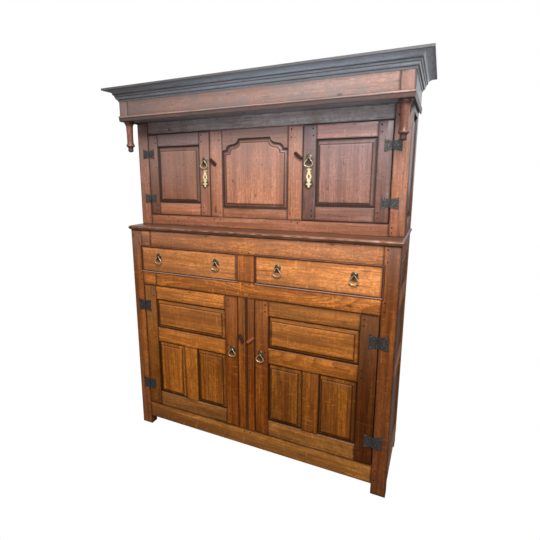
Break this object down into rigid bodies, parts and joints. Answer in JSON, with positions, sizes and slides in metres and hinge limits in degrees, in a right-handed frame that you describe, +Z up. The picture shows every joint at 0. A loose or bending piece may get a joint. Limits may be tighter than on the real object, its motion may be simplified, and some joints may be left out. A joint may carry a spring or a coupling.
{
  "type": "press cupboard",
  "caption": "Tall oak press cupboard: panelled doors under drawers, a set-back upper cupboard with an arched centre panel, and an overhanging canopy with turned pendants.",
  "frame": {"origin": "on the floor, under the centre of the overall box", "axes": "+Z up, -Y out of the front, +X to the viewer's right when facing the doors"},
  "size_m": [1.541, 0.537, 1.9],
  "materials": {
    "lower_oak": "old waxed oak, rich orange brown, satin",
    "door_oak": "old waxed oak of the lower doors, golden brown, satin",
    "drawer_oak": "lighter rubbed oak of the drawers, satin",
    "upper_oak": "old waxed oak, greyer brown, satin",
    "canopy_oak": "dark dusty oak of the canopy, cornice and pendants",
    "plain_oak": "dry unpolished oak inside and at the back",
    "forged_iron": "near-black forged iron",
    "aged_brass": "dull aged brass",
    "bright_brass": "rubbed pale brass"
  },
  "bodies": {
    "carcase": {"lower_front_frame": "lower_oak", "lower_left_side": "lower_oak", "lower_right_side": "lower_oak", "waist_top": "lower_oak", "lower_back_boards": "plain_oak", "lower_floor_boards": "plain_oak", "drawer_deck": "plain_oak", "upper_back_boards": "plain_oak", "upper_front_frame": "upper_oak", "arched_centre_panel": "upper_oak", "upper_left_side": "upper_oak", "upper_right_side": "upper_oak", "canopy_frieze": "canopy_oak", "cornice_moulding": "canopy_oak", "left_pendant": "canopy_oak", "right_pendant": "canopy_oak", "lower_left_door_bottom_hinge_post_leaf": "forged_iron", "lower_left_door_top_hinge_post_leaf": "forged_iron", "lower_right_door_bottom_hinge_post_leaf": "forged_iron", "lower_right_door_top_hinge_post_leaf": "forged_iron", "upper_left_door_bottom_hinge_post_leaf": "forged_iron", "upper_left_door_top_hinge_post_leaf": "forged_iron", "upper_right_door_bottom_hinge_post_leaf": "forged_iron", "upper_right_door_top_hinge_post_leaf": "forged_iron"},
    "lower_left_door": {"lower_left_door_frame": "door_oak", "lower_left_door_top_panel": "door_oak", "lower_left_door_outer_panel": "door_oak", "lower_left_door_inner_panel": "door_oak", "lower_left_door_bottom_hinge_door_leaf": "forged_iron", "lower_left_door_top_hinge_door_leaf": "forged_iron"},
    "lower_right_door": {"lower_right_door_frame": "door_oak", "lower_right_door_top_panel": "door_oak", "lower_right_door_outer_panel": "door_oak", "lower_right_door_inner_panel": "door_oak", "lower_right_door_bottom_hinge_door_leaf": "forged_iron", "lower_right_door_top_hinge_door_leaf": "forged_iron"},
    "upper_left_door": {"upper_left_door_frame": "upper_oak", "upper_left_door_panel": "upper_oak", "upper_left_door_escutcheon": "bright_brass", "upper_left_door_bottom_hinge_door_leaf": "forged_iron", "upper_left_door_top_hinge_door_leaf": "forged_iron"},
    "upper_right_door": {"upper_right_door_frame": "upper_oak", "upper_right_door_panel": "upper_oak", "upper_right_door_escutcheon": "bright_brass", "upper_right_door_bottom_hinge_door_leaf": "forged_iron", "upper_right_door_top_hinge_door_leaf": "forged_iron"},
    "left_drawer": {"left_drawer": "drawer_oak"},
    "right_drawer": {"right_drawer": "drawer_oak"},
    "lower_left_door_drop": {"lower_left_door_pull_drop": "aged_brass"},
    "lower_right_door_drop": {"lower_right_door_pull_drop": "aged_brass"},
    "upper_left_door_drop": {"upper_left_door_pull_drop": "aged_brass"},
    "upper_right_door_drop": {"upper_right_door_pull_drop": "aged_brass"},
    "left_drawer_left_drop": {"left_drawer_left_pull_drop": "aged_brass"},
    "left_drawer_right_drop": {"left_drawer_right_pull_drop": "aged_brass"},
    "right_drawer_left_drop": {"right_drawer_left_pull_drop": "aged_brass"},
    "right_drawer_right_drop": {"right_drawer_right_pull_drop": "aged_brass"},
    "upper_left_button": {"upper_left_turn_button": "upper_oak"},
    "upper_right_button": {"upper_right_turn_button": "upper_oak"},
    "lower_left_button": {"lower_left_turn_button": "upper_oak"},
    "lower_right_button": {"lower_right_turn_button": "upper_oak"}
  },
  "joints": [
    {"name": "lower_left_door_swing", "type": "hinge", "parent": "carcase", "child": "lower_left_door", "pos_m": [-0.63475, -0.1963, 0.5085], "axis": [0, 0, -1], "range_deg": [0, 160]},
    {"name": "lower_right_door_swing", "type": "hinge", "parent": "carcase", "child": "lower_right_door", "pos_m": [0.63475, -0.1963, 0.5085], "axis": [0, 0, 1], "range_deg": [0, 160]},
    {"name": "upper_left_door_swing", "type": "hinge", "parent": "carcase", "child": "upper_left_door", "pos_m": [-0.63475, -0.0953, 1.467], "axis": [0, 0, -1], "range_deg": [0, 95]},
    {"name": "upper_right_door_swing", "type": "hinge", "parent": "carcase", "child": "upper_right_door", "pos_m": [0.63475, -0.0953, 1.467], "axis": [0, 0, 1], "range_deg": [0, 95]},
    {"name": "left_drawer_slide", "type": "slide", "parent": "carcase", "child": "left_drawer", "axis": [0, -1, 0], "range_m": [0, 0.3]},
    {"name": "right_drawer_slide", "type": "slide", "parent": "carcase", "child": "right_drawer", "axis": [0, -1, 0], "range_m": [0, 0.3]},
    {"name": "lower_left_door_drop_swing", "type": "hinge", "parent": "lower_left_door", "child": "lower_left_door_drop", "pos_m": [-0.078, -0.202, 0.58952], "axis": [-1, 0, 0], "range_deg": [0, 100]},
    {"name": "lower_right_door_drop_swing", "type": "hinge", "parent": "lower_right_door", "child": "lower_right_door_drop", "pos_m": [0.078, -0.202, 0.58952], "axis": [-1, 0, 0], "range_deg": [0, 100]},
    {"name": "upper_left_door_drop_swing", "type": "hinge", "parent": "upper_left_door", "child": "upper_left_door_drop", "pos_m": [-0.2769, -0.101, 1.53702], "axis": [-1, 0, 0], "range_deg": [0, 100]},
    {"name": "upper_right_door_drop_swing", "type": "hinge", "parent": "upper_right_door", "child": "upper_right_door_drop", "pos_m": [0.2769, -0.101, 1.53702], "axis": [-1, 0, 0], "range_deg": [0, 100]},
    {"name": "left_drawer_left_drop_swing", "type": "hinge", "parent": "left_drawer", "child": "left_drawer_left_drop", "pos_m": [-0.5205, -0.202, 1.03652], "axis": [-1, 0, 0], "range_deg": [0, 100]},
    {"name": "left_drawer_right_drop_swing", "type": "hinge", "parent": "left_drawer", "child": "left_drawer_right_drop", "pos_m": [-0.1665, -0.202, 1.03652], "axis": [-1, 0, 0], "range_deg": [0, 100]},
    {"name": "right_drawer_left_drop_swing", "type": "hinge", "parent": "right_drawer", "child": "right_drawer_left_drop", "pos_m": [0.1665, -0.202, 1.03652], "axis": [-1, 0, 0], "range_deg": [0, 100]},
    {"name": "right_drawer_right_drop_swing", "type": "hinge", "parent": "right_drawer", "child": "right_drawer_right_drop", "pos_m": [0.5205, -0.202, 1.03652], "axis": [-1, 0, 0], "range_deg": [0, 100]},
    {"name": "upper_left_button_turn", "type": "hinge", "parent": "carcase", "child": "upper_left_button", "pos_m": [-0.2256, -0.0905, 1.529], "axis": [0, -1, 0], "continuous": true},
    {"name": "upper_right_button_turn", "type": "hinge", "parent": "carcase", "child": "upper_right_button", "pos_m": [0.2256, -0.0905, 1.547], "axis": [0, -1, 0], "continuous": true},
    {"name": "lower_left_button_turn", "type": "hinge", "parent": "carcase", "child": "lower_left_button", "pos_m": [-0.0255, -0.1915, 0.654], "axis": [0, -1, 0], "continuous": true},
    {"name": "lower_right_button_turn", "type": "hinge", "parent": "carcase", "child": "lower_right_button", "pos_m": [0.0255, -0.1915, 0.654], "axis": [0, -1, 0], "continuous": true}
  ]
}
